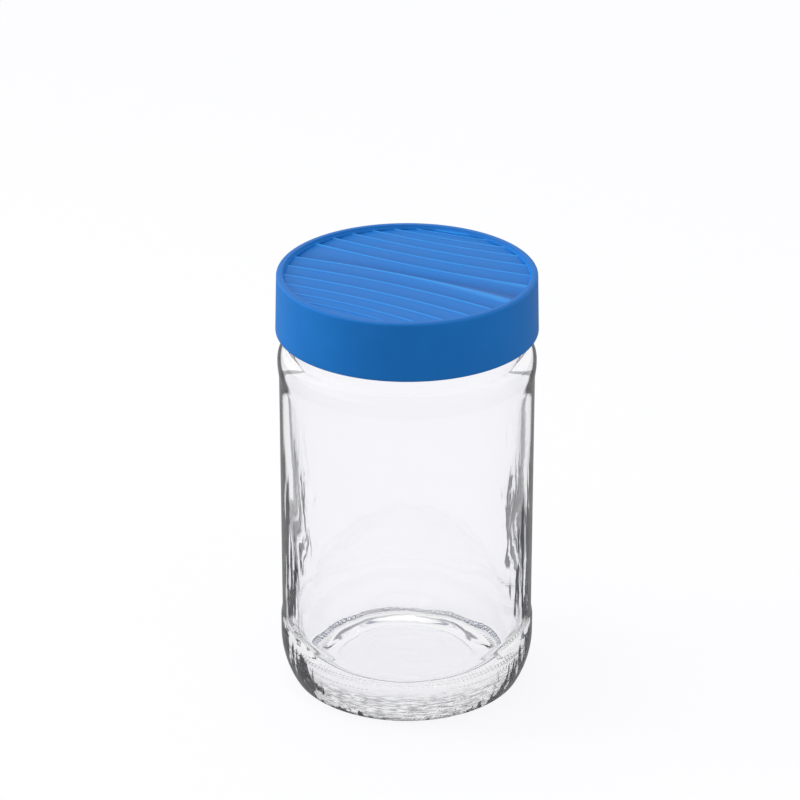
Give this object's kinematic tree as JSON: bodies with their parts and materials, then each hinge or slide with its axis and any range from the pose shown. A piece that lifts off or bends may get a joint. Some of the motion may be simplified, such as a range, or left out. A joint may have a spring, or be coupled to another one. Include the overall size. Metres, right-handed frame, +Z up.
{
  "type": "mason jar",
  "caption": "Straight clear glass storage jar with a wide threaded mouth, a one-piece blue plastic screw lid with a louvred top, and a sealing liner under it.",
  "frame": {"origin": "on the jar's axis, at the level of the bearing ring it stands on", "axes": "+Z up along the jar's axis, out of its mouth; -Y faces the viewer, and the lid's middle louvre runs from far left (-X) to near right (+X)"},
  "size_m": [0.087, 0.087, 0.1475],
  "materials": {
    "clear_glass": "clear flint glass, polished, with slightly uneven walls",
    "liner_foam": "off-white polyethylene foam disc, matt, slightly grained",
    "blue_plastic": "mid blue moulded polypropylene, satin, fine moulded grain"
  },
  "bodies": {
    "jar": {"glass_jar": "clear_glass"},
    "seal": {"sealing_liner": "liner_foam"},
    "lid": {"screw_lid": "blue_plastic"}
  },
  "joints": [
    {"name": "lid_lift", "type": "slide", "parent": "jar", "child": "seal", "axis": [0, 0, 1], "range_m": [0, 0.0361]},
    {"name": "lid_turn", "type": "hinge", "parent": "seal", "child": "lid", "pos_m": [0, 0, 0.1422], "axis": [0, 0, 1], "range_deg": [0, 1080]}
  ],
  "couplings": [
    {"joint": "lid_lift", "follows": "lid_turn", "m_per_rad": 0.0019099}
  ]
}
